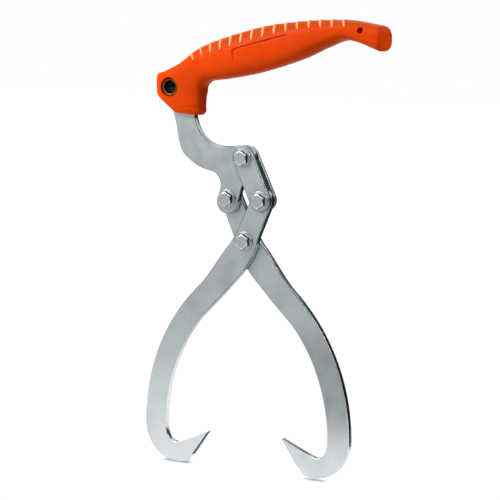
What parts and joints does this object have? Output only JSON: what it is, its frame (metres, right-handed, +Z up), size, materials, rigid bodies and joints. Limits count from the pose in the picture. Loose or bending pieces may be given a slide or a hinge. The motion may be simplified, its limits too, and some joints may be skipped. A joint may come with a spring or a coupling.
{
  "type": "log lifting tongs",
  "caption": "Hand-held lifting tongs: a ribbed moulded grip on a curved plate bracket, over a scissor linkage that closes hooked jaws on a log.",
  "frame": {"origin": "middle of the grip's cross-section half way along the grip, where a hand holds the tool up", "axes": "+Z up from the hooks to the grip, +X along the grip towards its free end, +Y from the bolt heads back to the nuts"},
  "size_m": [0.1888, 0.028, 0.3355],
  "materials": {
    "orange_grip": "satin moulded plastic, orange",
    "galvanised_plate": "galvanised plate, blanked and tumbled",
    "zinc_hardware": "bright zinc plating"
  },
  "bodies": {
    "grip": {"handle": "orange_grip", "handle_rivet": "zinc_hardware", "bracket": "galvanised_plate", "bracket_pivot_bolt": "zinc_hardware", "bracket_pivot_nut": "zinc_hardware", "bracket_pivot_sleeve": "zinc_hardware"},
    "links": {"front_link": "galvanised_plate", "rear_link": "galvanised_plate", "upper_link_bolt": "zinc_hardware", "upper_link_nut": "zinc_hardware", "upper_link_sleeve": "zinc_hardware", "lower_link_bolt": "zinc_hardware", "lower_link_nut": "zinc_hardware", "lower_link_sleeve": "zinc_hardware"},
    "right_jaw": {"right_jaw_arm": "galvanised_plate", "main_pivot_bolt": "zinc_hardware", "main_pivot_nut": "zinc_hardware", "main_pivot_sleeve": "zinc_hardware"},
    "left_jaw": {"left_jaw_arm": "galvanised_plate"}
  },
  "joints": [
    {"name": "jaw_swing", "type": "hinge", "parent": "grip", "child": "right_jaw", "pos_m": [-0.02764, 0, -0.11034], "axis": [0, -1, 0], "range_deg": [-17, 80]},
    {"name": "links_swing", "type": "hinge", "parent": "grip", "child": "links", "pos_m": [-0.01379, 0, -0.07951], "axis": [0, -1, 0], "range_deg": [-17, 80]},
    {"name": "left_jaw_swing", "type": "hinge", "parent": "right_jaw", "child": "left_jaw", "pos_m": [-0.01293, 0, -0.14077], "axis": [0, -1, 0], "range_deg": [-80, 17]}
  ],
  "couplings": [
    {"joint": "links_swing", "follows": "jaw_swing", "ratio": 1},
    {"joint": "left_jaw_swing", "follows": "jaw_swing", "ratio": -1}
  ]
}
